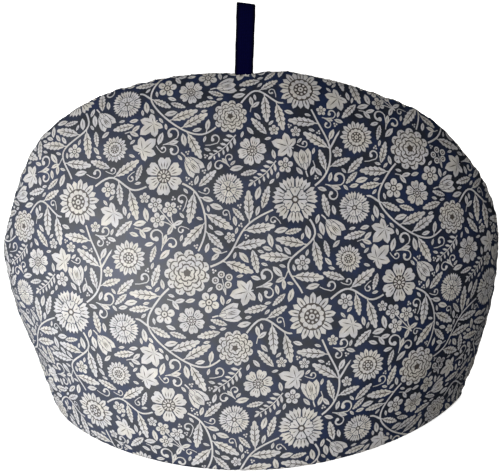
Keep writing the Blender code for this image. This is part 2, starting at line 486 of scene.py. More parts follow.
def scalloped(radius, lobes, turn):
    """A round outline with petal-like lobes."""
    outline = []
    count = 5 * lobes
    for k in range(count):
        angle = 2 * math.pi * k / count
        r = radius * (0.8 + 0.2 * math.sqrt(abs(math.sin(angle * lobes / 2))))
        outline.append((r * math.cos(angle + turn), r * math.sin(angle + turn)))
    return outline


def fringed(start, end, spread, teeth):
    """A petal that widens outwards to a toothed edge."""
    edge = []
    for k in range(2 * teeth + 1):
        angle = spread * (k / (2 * teeth) - 0.5)
        reach = end if k % 2 else 0.86 * end
        edge.append((reach * math.cos(angle), reach * math.sin(angle)))
    base = 0.3 * spread
    x, y = start * math.cos(base), start * math.sin(base)
    return [(x, -y), *edge, (x, y)]


def notched(start, end, spread):
    """A broad petal with a notch in its edge, like a primrose's."""
    edge = []
    for side, share in ((0.95, 0.66), (0.85, 0.86), (0.5, 1.0), (0.17, 0.97), (0.0, 0.87)):
        edge.append((end * share * math.cos(side * spread / 2), end * share * math.sin(side * spread / 2)))
    return [(start, 0.0), *[(x, -y) for x, y in edge], *edge[-2::-1]]


def toothed(length, width, teeth):
    """A leaf outline with a toothed edge."""
    side = []
    for k in range(2 * teeth + 1):
        t = k / (2 * teeth)
        half = width * (1.08 if k % 2 else 0.78) * t**0.7 * (1 - t) ** 0.8
        side.append((length * min(t + (0.03 if k % 2 else 0.0), 1.0), half))
    return [(x, -y) for x, y in side] + side[-2:0:-1]


def turned(shapes, angle, x=0.0, y=0.0):
    """Shapes turned about their origin and then moved."""
    c, s = math.cos(angle), math.sin(angle)
    moved = []
    for ink, outline in shapes:
        moved.append((ink, [(x + c * px - s * py, y + s * px + c * py) for px, py in outline]))
    return moved


def mirrored(shapes):
    """Shapes turned over about the x axis."""
    return [(ink, [(x, -y) for x, y in outline]) for ink, outline in shapes]


def ring(shapes, count, turn=0.0):
    """Shapes repeated all round their origin."""
    return [shape for k in range(count) for shape in turned(shapes, turn + 2 * math.pi * k / count)]


def fanned(shapes, lean):
    """Shapes three times over: leaning one way, straight, and leaning the other way."""
    return turned(shapes, -lean) + shapes + turned(shapes, lean)


def edged(outline, by):
    """A cream shape with a dark gap round it, to stand out from what it overlaps."""
    return [("ground", grown(outline, by)), ("cream", outline)]


def curve_through(points, steps):
    """A smooth curve through a few points."""
    pts = [np.array(p, float) for p in points]
    pts = [2 * pts[0] - pts[1], *pts, 2 * pts[-1] - pts[-2]]
    curve = []
    for a, b, c, d in zip(pts, pts[1:], pts[2:], pts[3:]):
        for t in np.arange(steps) / steps:
            bend = (2 * a - 5 * b + 4 * c - d) * t**2 + (3 * b - a - 3 * c + d) * t**3
            curve.append(0.5 * (2 * b + (c - a) * t + bend))
    return np.array([*curve, pts[-2]])


def stroke(curve, start_width, end_width):
    """The outline of a line drawn along a curve."""
    curve = np.asarray(curve, float)
    along = np.gradient(curve, axis=0)
    side = np.stack([-along[:, 1], along[:, 0]], axis=-1)
    side /= np.maximum(np.linalg.norm(side, axis=-1, keepdims=True), 1e-9)
    half = np.linspace(start_width, end_width, len(curve))[:, None] / 2
    return [tuple(p) for p in curve + side * half] + [tuple(p) for p in (curve - side * half)[::-1]]


def aster(r):
    """A flower of pointed rays, a ring of short petals and a beaded heart."""
    back = [("cream", petal(0.4 * r, 0.93 * r, 0.26 * r, 0.5, 0.5, 4))]
    front = edged(petal(0.4 * r, r, 0.25 * r, 0.5, 0.45, 5), 0.035 * r)
    front += vein(0.52 * r, 0.85 * r, 0.07 * r)
    shapes = ring(back, 9, math.pi / 9) + ring(front, 9)
    shapes.append(("line", disc(0.57 * r)))
    shapes += ring([("cream", petal(0.26 * r, 0.52 * r, 0.21 * r, 0.5, 0.3, 4))], 12, 0.2)
    shapes.append(("line", disc(0.33 * r)))
    shapes += ring([("cream", disc(0.055 * r, 0.23 * r))], 8)
    return shapes + [("cream", disc(0.12 * r)), ("line", disc(0.05 * r))]


def pink(r):
    """A garden pink: fringed petals in two rings."""
    outer = [("cream", fringed(0.3 * r, r, 0.83, 4))] + fanned(vein(0.5 * r, 0.84 * r, 0.055 * r), 0.22)
    inner = edged(fringed(0.14 * r, 0.55 * r, 0.98, 3), 0.04 * r) + vein(0.26 * r, 0.44 * r, 0.05 * r)
    shapes = ring(outer, 7) + ring(inner, 6, 0.3)
    return shapes + [("line", disc(0.17 * r)), ("cream", disc(0.09 * r))]


def rosette(r):
    """A full, round flower of tucked petals, drawn as scalloped rings."""
    shapes = []
    for outer, lobes, turn in ((1.0, 11, 0.0), (0.77, 9, 0.3), (0.55, 7, 0.1), (0.34, 5, 0.5)):
        if outer < 1.0:
            shapes.append(("line", scalloped((outer + 0.07) * r, lobes, turn)))
        shapes.append(("cream", scalloped(outer * r, lobes, turn)))
        fold = vein((outer - 0.2) * r, (outer - 0.05) * r, 0.06 * r, fall=0.5)
        shapes += ring(fold, lobes, turn + math.pi / lobes)
    return shapes + [("line", scalloped(0.17 * r, 5, 0.3))]


def anemone(r):
    """Six notched petals, and stamens round a dark eye."""
    veins = fanned(vein(0.42 * r, 0.76 * r, 0.06 * r), 0.24)
    shapes = ring([("cream", notched(0.1 * r, r, 1.0))] + veins, 6)
    shapes.append(("line", disc(0.38 * r)))
    shapes += ring([("cream", petal(0.1 * r, 0.35 * r, 0.09 * r, 0.9, 0.3, 3))], 11)
    return shapes + [("line", disc(0.16 * r)), ("cream", disc(0.09 * r))]


def forget_me_not(r):
    """Five round petals about a ringed eye."""
    shapes = ring([("cream", disc(0.35 * r, 0.64 * r))] + vein(0.36 * r, 0.74 * r, 0.12 * r, rise=0.4), 5)
    return shapes + [("line", disc(0.37 * r)), ("cream", disc(0.25 * r)), ("line", disc(0.1 * r))]


def toothed_leaf(length):
    """A leaf with a toothed edge, a midrib and side veins."""
    shapes = [("cream", toothed(length, 0.46 * length, 6))]
    shapes += vein(0.02 * length, 0.9 * length, 0.05 * length, 0.2, 0.8, 3)
    side_vein = vein(0, 0.17 * length, 0.035 * length, 0.3, 0.8)
    for k in range(3):
        for way in (-0.75, 0.75):
            shapes += turned(side_vein, way, (0.22 + 0.19 * k) * length)
    return shapes


def lobed_leaf(length):
    """A broad leaf of five blunt lobes that run into one another, like an ivy's."""
    lobes, veins = [], []
    for lean, share in ((2.0, 0.52), (-2.0, 0.52), (1.0, 0.68), (-1.0, 0.68), (0.0, 0.84)):
        size = share * length
        lobes += turned([("cream", petal(-0.1 * size, size, 0.56 * size, 0.7, 0.6, 5))], lean, 0.25 * length)
        veins += turned(vein(0, 0.74 * size, 0.07 * size, 0.3, 0.8), lean, 0.25 * length)
    stalk = stroke([(0, 0), (0.14 * length, 0), (0.3 * length, 0)], 0.7, 0.7)
    return [("cream", stalk), *lobes, *veins]


def plain_leaf(length):
    """A small pointed leaf with a midrib."""
    rib = vein(0.12 * length, 0.75 * length, 0.07 * length, 0.3, 0.8)
    return [("cream", petal(0, length, 0.42 * length, 0.75, 0.7, 4))] + rib


def leaf_pair(length):
    """Two small leaves on one stalk."""
    stalk = ("cream", stroke([(0, 0), (0.3 * length, 0.03 * length), (0.55 * length, 0)], 0.6, 0.5))
    left = turned(plain_leaf(0.6 * length), 0.5, 0.42 * length, 0)
    right = turned(plain_leaf(0.6 * length), -0.6, 0.3 * length, 0)
    return [stalk, *left, *right]


def posy(size):
    """Three small flowers and two leaves on one stalk."""
    shapes = []
    flowers = ((0.28, 0.46), (0.28, -0.46), (1.02, 0.0))
    for x, y in flowers:
        ends = [(-0.75 * size, 0), ((x - 0.75) / 2 * size, 0.3 * y * size), (x * size, y * size)]
        shapes.append(("cream", stroke(curve_through(ends, 2), 0.7, 0.6)))
    for lean in (1.9, -1.9):
        shapes += turned(plain_leaf(0.62 * size), lean, -0.5 * size)
    for x, y in flowers:
        shapes += turned(forget_me_not(0.44 * size), x + y, x * size, y * size)
    return shapes


def fern(length):
    """A sprig with pairs of narrow leaflets."""
    spine = curve_through([(0, 0), (0.5 * length, 0.05 * length), (length, -0.02 * length)], 6)
    shapes = [("cream", stroke(spine[::2], 0.8, 0.5))]
    for k, (x, y) in enumerate(spine[1:-1:2]):
        size = (0.27 - 0.02 * k) * length
        leaflet = [("cream", petal(0.3, size, 0.34 * size, 0.7, 0.5, 3))]
        shapes += turned(leaflet, 0.95, x, y) + turned(leaflet, -0.95, x, y)
    tip = [("cream", petal(0, 0.2 * length, 0.08 * length))]
    return shapes + turned(tip, 0, *(spine[-1] - (0.04 * length, 0)))


def berries(r):
    """A bunch of ringed berries on thin stalks."""
    shapes = []
    places = ((1.6, 0.0), (1.0, 0.95), (1.0, -0.95), (0.05, 0.62), (0.05, -0.62))
    for x, y in places:
        stalk = [(-1.2 * r, 0), ((x - 1.0) / 2 * r, 0.25 * y * r), (x * r, y * r)]
        shapes.append(("cream", stroke(stalk, 0.5, 0.5)))
    for x, y in places:
        for ink, share in (("ground", 0.58), ("cream", 0.5), ("line", 0.29), ("cream", 0.13)):
            shapes.append((ink, disc(share * r, x * r, y * r)))
    return shapes


def bud(length):
    """A half-open bud in its calyx, on a stalk."""
    side = petal(0, length, 0.4 * length, 0.6, 0.55, 6)
    stalk = [(-0.35 * length, 0), (-0.15 * length, 0.02 * length), (0.1 * length, 0)]
    shapes = [("cream", stroke(stalk, 0.9, 0.9))]
    line = vein(0.3 * length, 0.8 * length, 0.045 * length, fall=0.8)
    for lean in (0.36, -0.36):
        shapes += turned([("cream", side)] + turned(line, 0.05) + turned(line, -0.08), lean)
    shapes += edged(petal(0.02 * length, 0.96 * length, 0.42 * length, 0.6, 0.55, 6), 0.03 * length)
    shapes += fanned(line, 0.12)
    for lean in (0.5, -0.5, 0.0):
        shapes += turned(edged(petal(-0.06 * length, 0.32 * length, 0.15 * length), 0.02 * length), lean)
    return shapes


def curl(size):
    """A stroke that swells as it winds into a round head."""
    winding = [(-0.35 * size, -0.12 * size), (0.1 * size, -0.2 * size)]
    for t in np.linspace(0, 1, 11):
        angle = -0.4 * math.pi + 1.5 * math.pi * t
        r = size * (0.5 - 0.3 * t)
        winding.append((size * 0.62 + r * math.cos(angle), size * 0.3 + r * math.sin(angle)))
    return [("cream", stroke(winding, 0.5, 0.2 * size)), ("cream", disc(0.17 * size, *winding[-1]))]


def curl_pair(size):
    """Two curls that part from one stalk, and a small leaf between them."""
    large = turned(curl(0.72 * size), 0.3, 0, 0.15 * size)
    small = turned(mirrored(curl(0.58 * size)), -0.35, 0, -0.12 * size)
    return large + small + turned(plain_leaf(0.5 * size), 0, 0.12 * size)


def dots(r):
    """Three dots, to fill a small space."""
    return ring([("cream", disc(0.42 * r, 0.6 * r))], 3)


# The large flowers, in one repeat of the cloth
Bloom = namedtuple("Bloom", "motif x y size turn")
BLOOMS = (
    Bloom(aster, 38, 104, 15.5, 0.1),
    Bloom(rosette, 112, 60, 14.5, 0.6),
    Bloom(pink, 30, 30, 15.0, 0.2),
    Bloom(anemone, 97, 121, 12.5, 0.5),
    Bloom(aster, 74, 69, 11.5, 0.3),
    Bloom(rosette, 141, 12, 11.5, 0.0),
    Bloom(pink, 69, 23, 10.5, 0.9),
    Bloom(anemone, 3, 62, 9.5, 0.2),
    Bloom(pink, 139, 112, 10.0, 0.4),
    Bloom(aster, 63, 139, 9.0, 0.0),
    Bloom(anemone, 114, 30, 8.5, 0.7),
)

# Winding stems from flower to flower. Some run on into the next repeat.
STEMS = (
    ((30, 30), (50, 44), (55, 62), (47, 82), (38, 104)),
    ((55, 62), (64, 74), (74, 69)),
    ((38, 104), (60, 120), (78, 112), (97, 121)),
    ((97, 121), (118, 110), (124, 86), (112, 60)),
    ((112, 60), (94, 44), (86, 26), (102, 8), (122, 0), (141, 12)),
    ((86, 26), (78, 30), (69, 23)),
    ((141, 12), (158, 30), (176, 20), (190, 30)),
    ((112, 60), (136, 68), (152, 90), (182, 104)),
    ((30, 30), (42, 8), (24, -10), (32, -28), (38, -44)),
)
STEM_WIDTH = 1.3
STEM_TAPER = 0.8  # width at a stem's far end as a share of its start
STEM_LINE_STEPS = 8  # steps of the drawn stem between two of its places
STEM_STEPS = 14  # steps of a stem between two of its places, where leaves may spring
STEM_BARE = 4  # steps at each end of a stem that have no leaf
LEAF_EVERY = 3  # steps from one leaf to the next
LEAF_LEAN = 0.85
LEAF_STALK = 1.2
STEM_LEAVES = (
    (toothed_leaf, 19.0),
    (lobed_leaf, 15.0),
    (toothed_leaf, 14.0),
    (leaf_pair, 11.0),
    (plain_leaf, 8.0),
)

# What fills the spaces, in the order in which it is laid: the larger things first
Filler = namedtuple("Filler", "motif size tries most")
FILLERS = (
    Filler(lobed_leaf, 14.0, 4000, 5),
    Filler(posy, 11.5, 1500, 5),
    Filler(bud, 14.0, 1500, 4),
    Filler(curl_pair, 13.0, 1500, 4),
    Filler(fern, 21.0, 1500, 3),
    Filler(berries, 4.6, 2000, 7),
    Filler(forget_me_not, 6.8, 2000, 9),
    Filler(toothed_leaf, 15.0, 2500, 12),
    Filler(curl_pair, 9.5, 1500, 5),
    Filler(forget_me_not, 5.2, 2000, 12),
    Filler(toothed_leaf, 11.0, 2500, 10),
    Filler(leaf_pair, 11.5, 2500, 16),
    Filler(berries, 3.2, 2000, 7),
    Filler(curl, 7.0, 2500, 14),
    Filler(forget_me_not, 3.6, 2500, 12),
    Filler(plain_leaf, 9.0, 3500, 36),
    Filler(curl, 4.8, 2500, 14),
    Filler(plain_leaf, 6.5, 4000, 60),
    Filler(plain_leaf, 4.6, 4000, 70),
    Filler(dots, 1.6, 2500, 24),
)


class Repeat:
    """One repeat of the print, laid so that no motif touches another across its borders either."""

    def __init__(self):
        self.random = random.Random(PRINT_SEED)
        self.rows = round(REPEAT_UP / CELL)
        self.columns = round(REPEAT_ACROSS / CELL)
        self.taken = np.zeros((self.rows, self.columns), bool)
        self.motifs = []
        for points in STEMS:
            line = curve_through(points, STEM_LINE_STEPS)
            self.place([("cream", stroke(line, STEM_WIDTH, STEM_TAPER * STEM_WIDTH))])
        for bloom in BLOOMS:
            halo = ("ground", disc(bloom.size + HALO, bloom.x, bloom.y))
            self.place([halo, *turned(bloom.motif(bloom.size), bloom.turn, bloom.x, bloom.y)])
        self.leaves_on_stems()
        for filler in FILLERS:
            self.scatter(filler)

    def cells(self, points):
        """Cells of the repeat under some places, wherever on the cloth they are."""
        column = np.floor(points[:, 0] / REPEAT_ACROSS)
        x = points[:, 0] - column * REPEAT_ACROSS
        y = np.mod(points[:, 1] - column * REPEAT_UP / 2, REPEAT_UP)
        i = np.minimum((y / CELL).astype(int), self.rows - 1)
        j = np.minimum((x / CELL).astype(int), self.columns - 1)
        return i, j

    def place(self, shapes):
        """Adds a motif and marks the cells under it, and a margin, as taken."""
        self.motifs.append(shapes)
        under = covered(shapes)
        steps = int(MOTIF_GAP / CELL)
        for dx in range(-steps, steps + 1):
            for dy in range(-steps, steps + 1):
                if math.hypot(dx, dy) * CELL <= MOTIF_GAP:
                    self.taken[self.cells(under + (dx * CELL, dy * CELL))] = True

    def free(self, points):
        """Whether some places are all still bare."""
        return not self.taken[self.cells(points)].any()

    def leaves_on_stems(self):
        """Leaves spring from both sides of the stems wherever there is room."""
        for points in STEMS:
            curve = curve_through(points, STEM_STEPS)
            for k in range(STEM_BARE, len(curve) - STEM_BARE, LEAF_EVERY):
                way = 1 if (k // LEAF_EVERY) % 2 else -1
                along = curve[k + 1] - curve[k - 1]
                heading = math.atan2(along[1], along[0]) + way * (LEAF_LEAN + 0.2 * math.sin(k))
                lead = np.array([math.cos(heading), math.sin(heading)])
                start = curve[k] + lead * (STEM_WIDTH / 2 + LEAF_STALK)
                for motif, size in STEM_LEAVES:
                    shapes = turned(motif(size), heading, start[0], start[1])
                    if self.free(covered(shapes)):
                        stalk = stroke([curve[k], start, start + lead * 0.1 * size], 0.8, 0.6)
                        self.place([("cream", stalk), *shapes])
                        break

    def scatter(self, filler):
        """Tries a filler at many places and angles, and keeps it where there is room."""
        turns = 12
        patterns = []
        for k in range(turns):
            shapes = turned(filler.motif(filler.size), 2 * math.pi * k / turns + 0.2)
            patterns.append((shapes, covered(shapes)))
        laid = 0
        room = np.argwhere(~self.taken)
        for _ in range(filler.tries):
            i, j = room[self.random.randrange(len(room))]
            x, y = j * CELL, i * CELL
            shapes, under = patterns[self.random.randrange(turns)]
            if laid < filler.most and self.free(under + (x, y)):
                self.place(turned(shapes, 0.0, x, y))
                room = np.argwhere(~self.taken)
                laid += 1


def grown(outline, by):
    """An outline made larger all round."""
    loop = np.array(outline, float)
    return [tuple(p) for p in loop + outward(loop) * by * math.copysign(1.0, signed_area(loop))]


def signed_area(loop):
    """Area of a closed loop, positive where it runs anticlockwise."""
    x, y = loop[:, 0], loop[:, 1]
    return 0.5 * float(np.sum(x * np.roll(y, -1) - np.roll(x, -1) * y))


def covered(shapes):
    """Places on a fine grid that lie inside some shapes, and their outlines."""
    found = []
    for _, outline in shapes:
        loop = np.array(outline, float)
        low, high = loop.min(axis=0), loop.max(axis=0)
        xs = np.arange(low[0], high[0] + CELL, CELL)
        ys = np.arange(low[1], high[1] + CELL, CELL)
        px, py = (a.ravel() for a in np.meshgrid(xs, ys))
        inside = np.zeros(len(px), bool)
        for (x0, y0), (x1, y1) in zip(loop, np.roll(loop, -1, axis=0)):
            if y0 != y1:
                crosses = (y0 > py) != (y1 > py)
                inside ^= crosses & (px < (x1 - x0) * (py - y0) / (y1 - y0) + x0)
        found.append(np.stack([px[inside], py[inside]], axis=-1))
        found.append(loop)
    return np.concatenate(found)


def motifs_over(low, high, shift, repeat):
    """Every motif of the repeat that may touch a region of the cloth, moved to its places."""
    first_column = math.floor((low[0] - STEM_REACH - shift[0]) / REPEAT_ACROSS) - 1
    last_column = math.ceil((high[0] + STEM_REACH) / REPEAT_ACROSS) + 1
    moves = []
    for column in range(first_column, last_column + 1):
        rise = column * REPEAT_UP / 2
        first_row = math.floor((low[1] - STEM_REACH - rise) / REPEAT_UP) - 2
        last_row = math.ceil((high[1] + STEM_REACH - rise) / REPEAT_UP) + 1
        for row in range(first_row, last_row + 1):
            moves.append((column * REPEAT_ACROSS + shift[0], rise + row * REPEAT_UP + shift[1]))
    shapes = []
    for motif in repeat.motifs:
        points = np.concatenate([np.array(outline) for _, outline in motif])
        own_low, own_high = points.min(axis=0), points.max(axis=0)
        for move in moves:
            if np.all(own_high + move >= low) and np.all(own_low + move <= high):
                shapes += [(ink, np.array(outline) + move) for ink, outline in motif]
    return shapes


def triangulate(body, repeat):
    """The printed cloth cut along every outline of the print.

    Returns the places on the cloth, the triangles, each triangle's ink and the places of the rim's points.
    """
    rim = body.cloth[body.print_rim]
    printed = sorted({v for quad in body.printed for v in quad} - set(body.print_rim))
    places = [Vector(p) for p in rim] + [Vector(p) for p in body.cloth[printed]]
    outlines = [list(range(len(rim)))]
    inks = [0]
    for ink, outline in motifs_over(rim.min(axis=0), rim.max(axis=0), body.plan.print_shift, repeat):
        if signed_area(outline) < 0:
            outline = outline[::-1]
        first = len(places)
        places.extend(Vector(p) for p in outline)
        outlines.append(list(range(first, len(places))))
        inks.append(INKS.index(ink))
    cut = delaunay_2d_cdt(places, [], outlines, TRIANGLES_INSIDE, MERGE_MM, True)
    points, _, triangles, sources, _, owners = cut
    kept = [(t, inks[max(own)]) for t, own in zip(triangles, owners) if 0 in own]
    rim_points = {}
    for index, source in enumerate(sources):
        for original in source:
            if original < len(rim):
                rim_points[original] = index
    return np.array([tuple(p) for p in points]), kept, [rim_points[k] for k in range(len(rim))]


def lay_on(body, places, values):
    """Carries places on the cloth onto the body, with each of several values that its points have."""
    corners = []
    for a, b, c, d in body.printed:
        corners += [(a, b, c), (a, c, d)]
    corners = np.array(corners)
    flat = np.column_stack([body.cloth, np.zeros(len(body.cloth))])
    tree = BVHTree.FromPolygons([tuple(p) for p in flat], [tuple(map(int, t)) for t in corners])
    hits = [tree.find_nearest((x, y, 0.0))[2] for x, y in places]
    own = corners[hits]
    a, b, c = (body.cloth[own[:, k]] for k in range(3))
    v0, v1, v2 = b - a, c - a, places - a
    area = v0[:, 0] * v1[:, 1] - v1[:, 0] * v0[:, 1]
    second = (v2[:, 0] * v1[:, 1] - v1[:, 0] * v2[:, 1]) / area
    third = (v0[:, 0] * v2[:, 1] - v2[:, 0] * v0[:, 1]) / area
    weights = np.clip(np.column_stack([1 - second - third, second, third]), 0, 1)
    weights /= weights.sum(axis=1, keepdims=True)
    return [np.einsum("ij,ijk->ik", weights, value[own]) for value in values]


def body_normals(body):
    """Normals of the unprinted body, which the printed mesh takes so that its slivers don't show."""
    mesh = bpy.data.meshes.new("body")
    mesh.from_pydata([tuple(p) for p in body.points], [], body.printed + body.plain)
    normals = np.array([tuple(n.vector) for n in mesh.vertex_normals])
    bpy.data.meshes.remove(mesh)
    return normals


def printed_mesh(body, repeat):
    """One closed mesh of the panel, its outer face cut along the print."""
    places, triangles, rim_points = triangulate(body, repeat)
    normals = body_normals(body)
    positions, directions = lay_on(body, places, [body.points, normals])
    used = sorted({v for triangle, _ in triangles for v in triangle})
    new_index = {old: new for new, old in enumerate(used)}
    for ring_place, index in enumerate(rim_points):
        positions[index] = body.points[body.print_rim[ring_place]]
        directions[index] = normals[body.print_rim[ring_place]]
    points = [tuple(p) for p in positions[used]]
    all_normals = [tuple(n) for n in directions[used]]
    cloth = [tuple(p) for p in places[used]]
    faces = [tuple(new_index[v] for v in triangle) for triangle, _ in triangles]
    inks = [ink for _, ink in triangles]
    links = rim_links(faces)
    old_to_new = {body.print_rim[k]: new_index[v] for k, v in enumerate(rim_points)}
    for old in sorted({v for quad in body.plain for v in quad} - set(body.print_rim)):
        old_to_new[old] = len(points)
        points.append(tuple(body.points[old]))
        all_normals.append(tuple(normals[old]))
        cloth.append(tuple(body.cloth[old]))
    on_rim = {old_to_new[v] for v in body.print_rim}
    for quad in body.plain:
        corners = [old_to_new[v] for v in quad]
        whole = []
        for k, corner in enumerate(corners):
            whole.append(corner)
            following = corners[(k + 1) % 4]
            if corner in on_rim and following in on_rim:
                whole += between(links, following, corner)[::-1]
        faces.append(tuple(whole))
        inks.append(len(INKS))
    mesh = bpy.data.meshes.new(f"{body.plan.name}_panel_cloth")
    side = body.plan.side
    mesh.from_pydata([(side * x * MM, side * y * MM, z * MM) for x, y, z in points], [], faces)
    mesh.polygons.foreach_set("material_index", inks)
    mesh.shade_smooth()
    mesh.normals_split_custom_set_from_vertices([(side * x, side * y, z) for x, y, z in all_normals])
    lay_cloth(mesh, cloth)
    return mesh


def lay_cloth(mesh, places):
    """Gives a mesh its points' places on the cloth as a UV map, in metres."""
    corner_vertices = np.zeros(len(mesh.loops), np.int32)
    mesh.loops.foreach_get("vertex_index", corner_vertices)
    layer = mesh.uv_layers.new(name="cloth")
    layer.data.foreach_set("uv", (np.array(places)[corner_vertices] * MM).ravel())


def rim_links(faces):
    """For each point of the open rim, the next one round."""
    edges = set()
    for face in faces:
        edges.update(zip(face, face[1:] + face[:1]))
    return {v: w for v, w in edges if (w, v) not in edges}


def between(links, start, end):
    """Points of the rim after start and before end."""
    found = []
    point = links[start]
    while point != end:
        found.append(point)
        point = links[point]
    return found


def add_node(tree, kind, settings=None, links=None):
    """Adds a shader node. links maps an input to a fixed value or to the output socket that feeds it."""
    node = tree.nodes.new(kind)
    for name, value in (settings or {}).items():
        setattr(node, name, value)
    for name, value in (links or {}).items():
        socket = node.inputs[name]
        if isinstance(value, bpy.types.NodeSocket):
            tree.links.new(value, socket)
        else:
            socket.default_value = value
    return node


def rgba(colour):
    """A linear colour with full opacity, as a shader's colour socket takes it."""
    return (*colour[:3], 1.0)


def wave_scale(spacing):
    """The Scale at which a band texture has its stripes this far apart."""
    return 2 * math.pi / (20 * spacing)


def new_material(name):
    """A material, with its node tree and its shader."""
    material = bpy.data.materials.new(name)
    material.use_nodes = True
    return material, material.node_tree, material.node_tree.nodes["Principled BSDF"]


def printed_cotton(name, colour, other_colour, cloth):
    """Plain-woven cotton under one ink of a pigment print, calendered after printing.

    The pigment's binder and the calender give it a weak, broad gloss that greys the dark ground where the
    light comes from the side. Ink takes unevenly: its tone changes over millimetres, its hue over
    centimetres.
    """
    material, tree, shader = new_material(name)
    uv = add_node(tree, "ShaderNodeUVMap", {"uv_map": "cloth"}).outputs["UV"]
    multiply = {"operation": "MULTIPLY"}
    # The yarns are really about 0.4 mm apart. They are drawn a little coarser so that they show.
    stripes = {"Vector": uv, "Scale": wave_scale(cloth.yarn), "Distortion": 0.4, "Detail": 1.0}
    warp = add_node(tree, "ShaderNodeTexWave", {"bands_direction": "X"}, stripes).outputs["Fac"]
    weft = add_node(tree, "ShaderNodeTexWave", {"bands_direction": "Y"}, stripes).outputs["Fac"]
    weave = add_node(tree, "ShaderNodeMath", multiply, {0: warp, 1: weft}).outputs["Value"]
    hue_place = {"Vector": uv, "Scale": 1.0 / cloth.hue_patch, "Detail": 2.0}
    hue = add_node(tree, "ShaderNodeTexNoise", None, hue_place).outputs["Fac"]
    hue_range = {"Value": hue, "From Min": 0.38, "From Max": 0.62}
    share = add_node(tree, "ShaderNodeMapRange", None, hue_range).outputs["Result"]
    drifting = {"Factor": share, 6: rgba(colour), 7: rgba(other_colour)}
    dyed = add_node(tree, "ShaderNodeMix", {"data_type": "RGBA"}, drifting).outputs[2]
    tone_place = {"Vector": uv, "Scale": 1.0 / cloth.tone_patch, "Detail": 4.0, "Roughness": 0.6}
    tone = add_node(tree, "ShaderNodeTexNoise", None, tone_place).outputs["Fac"]
    tone_range = {"Value": tone, "From Min": 0.3, "From Max": 0.7, "To Min": 0.84, "To Max": 1.12}
    uneven = add_node(tree, "ShaderNodeMapRange", None, tone_range).outputs["Result"]
    yarn_range = {"Value": weave, "To Min": 0.84, "To Max": 1.12}
    yarns = add_node(tree, "ShaderNodeMapRange", None, yarn_range).outputs["Result"]
    strength = add_node(tree, "ShaderNodeMath", multiply, {0: uneven, 1: yarns}).outputs["Value"]
    inked = add_node(tree, "ShaderNodeVectorMath", {"operation": "SCALE"}, {0: dyed, "Scale": strength})
    tree.links.new(inked.outputs["Vector"], shader.inputs["Base Color"])
    bump = add_node(tree, "ShaderNodeBump", None, {"Strength": 0.35, "Distance": 0.0002, "Height": weave})
    tree.links.new(bump.outputs["Normal"], shader.inputs["Normal"])
    shader.inputs["IOR"].default_value = 1.55
    shader.inputs["Roughness"].default_value = 0.55
    shader.inputs["Specular IOR Level"].default_value = 0.8
    return material


def tape_cotton(name, tape):
    """Tightly woven cotton twill tape, dyed dark navy in the piece. The deep dye drinks the light.

    Its woven edges are denser, so they are darker still, and its fine ribs run across it.
    """
    material, tree, shader = new_material(name)
    uv = add_node(tree, "ShaderNodeUVMap", {"uv_map": "cloth"}).outputs["UV"]
    rib_place = {"Vector": uv, "Scale": wave_scale(tape.rib), "Distortion": 0.4, "Detail": 1.0}
    ribs = add_node(tree, "ShaderNodeTexWave", {"bands_direction": "Y"}, rib_place).outputs["Fac"]
    warp_place = {"Vector": uv, "Scale": 0.7 * wave_scale(tape.rib), "Distortion": 0.4, "Detail": 1.0}
    warp = add_node(tree, "ShaderNodeTexWave", {"bands_direction": "X"}, warp_place).outputs["Fac"]
    mixed = {0: warp, 1: 0.4, 2: ribs}
    height = add_node(tree, "ShaderNodeMath", {"operation": "MULTIPLY_ADD"}, mixed).outputs["Value"]
    rib_range = {"Value": height, "From Max": 1.4, "To Min": 0.6, "To Max": 1.5}
    tone = add_node(tree, "ShaderNodeMapRange", None, rib_range).outputs["Result"]
    across = add_node(tree, "ShaderNodeSeparateXYZ", None, {"Vector": uv}).outputs["X"]
    off_middle = add_node(tree, "ShaderNodeMath", {"operation": "SUBTRACT"}, {0: across, 1: tape.width / 2})
    off_middle = add_node(tree, "ShaderNodeMath", {"operation": "ABSOLUTE"}, {0: off_middle.outputs["Value"]})
    edge_range = {
        "Value": off_middle.outputs["Value"],
        "From Min": 0.25 * tape.width,
        "From Max": 0.5 * tape.width,
        "To Min": 1.0,
        "To Max": 0.15,
    }
    smooth = {"interpolation_type": "SMOOTHSTEP"}
    edge = add_node(tree, "ShaderNodeMapRange", smooth, edge_range).outputs["Result"]
    darker_edge = {0: tone, 1: edge}
    strength = add_node(tree, "ShaderNodeMath", {"operation": "MULTIPLY"}, darker_edge).outputs["Value"]
    inked = {0: tape.colour[:], "Scale": strength}
    dyed = add_node(tree, "ShaderNodeVectorMath", {"operation": "SCALE"}, inked).outputs["Vector"]
    tree.links.new(dyed, shader.inputs["Base Color"])
    bump = add_node(tree, "ShaderNodeBump", None, {"Strength": 0.5, "Distance": 0.0003, "Height": height})
    tree.links.new(bump.outputs["Normal"], shader.inputs["Normal"])
    shader.inputs["Roughness"].default_value = 0.9
    shader.inputs["Specular IOR Level"].default_value = 0.03
    return material


def matt_paper(name, colour):
    """Seamless photographic paper, matt, with a faint tooth.

    It glows a little, as paper does that has more light on it than the picture can hold.
    """
    material, tree, shader = new_material(name)
    place = add_node(tree, "ShaderNodeTexCoord").outputs["Object"]
    tooth = add_node(tree, "ShaderNodeTexNoise", None, {"Vector": place, "Scale": 900.0}).outputs["Fac"]
    bump = add_node(tree, "ShaderNodeBump", None, {"Strength": 0.04, "Distance": 0.0002, "Height": tooth})
    tree.links.new(bump.outputs["Normal"], shader.inputs["Normal"])
    shader.inputs["Base Color"].default_value = rgba(colour)
    shader.inputs["Emission Color"].default_value = rgba(colour)
    shader.inputs["Emission Strength"].default_value = 0.95
    shader.inputs["Roughness"].default_value = 0.95
    return material


